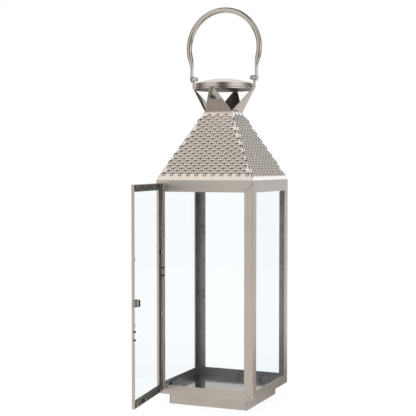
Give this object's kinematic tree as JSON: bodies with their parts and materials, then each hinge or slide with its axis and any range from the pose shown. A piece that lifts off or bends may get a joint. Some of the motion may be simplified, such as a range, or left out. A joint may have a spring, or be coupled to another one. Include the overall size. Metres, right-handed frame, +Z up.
{
  "type": "candle lantern",
  "caption": "Square glazed metal candle lantern with a hinged front door, studded pyramid roof, round cap on leaning blades and a swinging bail handle.",
  "frame": {"origin": "centre of the plinth's square underside, which stands on the floor or table", "axes": "+Z up; -Y is the front, where the door is; +X is to the right seen from the front, and the door's hinge is on the -X side"},
  "size_m": [0.18, 0.3344, 0.6992],
  "materials": {
    "handle_steel": "satin polished bar",
    "plinth_steel": "brushed stainless steel, folded",
    "frame_steel": "warm brushed nickel-toned stainless steel",
    "bright_fasteners": "bright plated",
    "cap_steel": "spun and brushed stainless steel",
    "black_rubber": "black soft rubber",
    "crown_steel": "near mirror polished stainless sheet",
    "door_steel": "warm brushed nickel-toned stainless steel",
    "clip_steel": "thin bright bent strip",
    "clear_glass": "clear float glass",
    "polished_floor": "smooth reflective stainless sheet",
    "bracket_steel": "satin strip",
    "hinge_steel": "plain satin hinge leaf",
    "roof_steel": "stainless sheet embossed with round studs"
  },
  "bodies": {
    "lantern": {"base_plinth": "plinth_steel", "bottom_rail_back": "frame_steel", "bottom_rail_front": "frame_steel", "bottom_rail_left": "frame_steel", "bottom_rail_right": "frame_steel", "bracket_spacers": "bright_fasteners", "cap_band": "cap_steel", "cap_crown_top": "cap_steel", "cap_underplate": "cap_steel", "crown_blade_back": "crown_steel", "crown_blade_front": "crown_steel", "crown_blade_left": "crown_steel", "crown_blade_right": "crown_steel", "floor_plate": "polished_floor", "glass_back": "clear_glass", "glass_clips_back": "clip_steel", "glass_clips_left": "clip_steel", "glass_clips_right": "clip_steel", "glass_left": "clear_glass", "glass_right": "clear_glass", "handle_acorn_nuts": "bright_fasteners", "handle_bolts": "bright_fasteners", "handle_bracket_left": "bracket_steel", "handle_bracket_right": "bracket_steel", "handle_washers": "bright_fasteners", "hinge_leaf_body_lower": "hinge_steel", "hinge_leaf_body_upper": "hinge_steel", "hinge_pins": "bright_fasteners", "hinge_rivets_body": "bright_fasteners", "post_back_left": "frame_steel", "post_back_right": "frame_steel", "post_front_left": "frame_steel", "post_front_right": "frame_steel", "roof_collar": "roof_steel", "roof_panel_back": "roof_steel", "roof_panel_front": "roof_steel", "roof_panel_left": "roof_steel", "roof_panel_right": "roof_steel", "top_rail_back": "frame_steel", "top_rail_front": "frame_steel", "top_rail_left": "frame_steel", "top_rail_right": "frame_steel"},
    "door": {"catch_roller": "black_rubber", "door_bottom_rail": "door_steel", "door_bumpers": "black_rubber", "door_catch": "clip_steel", "door_glass": "clear_glass", "door_glass_tabs": "clip_steel", "door_hinge_stile": "door_steel", "door_latch_stile": "door_steel", "door_top_rail": "door_steel", "hinge_leaf_door_lower": "hinge_steel", "hinge_leaf_door_upper": "hinge_steel", "hinge_rivets_door": "bright_fasteners"},
    "handle": {"bail_handle": "handle_steel"}
  },
  "joints": [
    {"name": "door_hinge", "type": "hinge", "parent": "lantern", "child": "door", "pos_m": [-0.0752, -0.0923, 0.2], "axis": [0, 0, 1], "range_deg": [-32.7, 82.3]},
    {"name": "handle_pivot", "type": "hinge", "parent": "lantern", "child": "handle", "pos_m": [0, 0, 0.5735], "axis": [1, 0, 0], "range_deg": [-145, 145]}
  ]
}
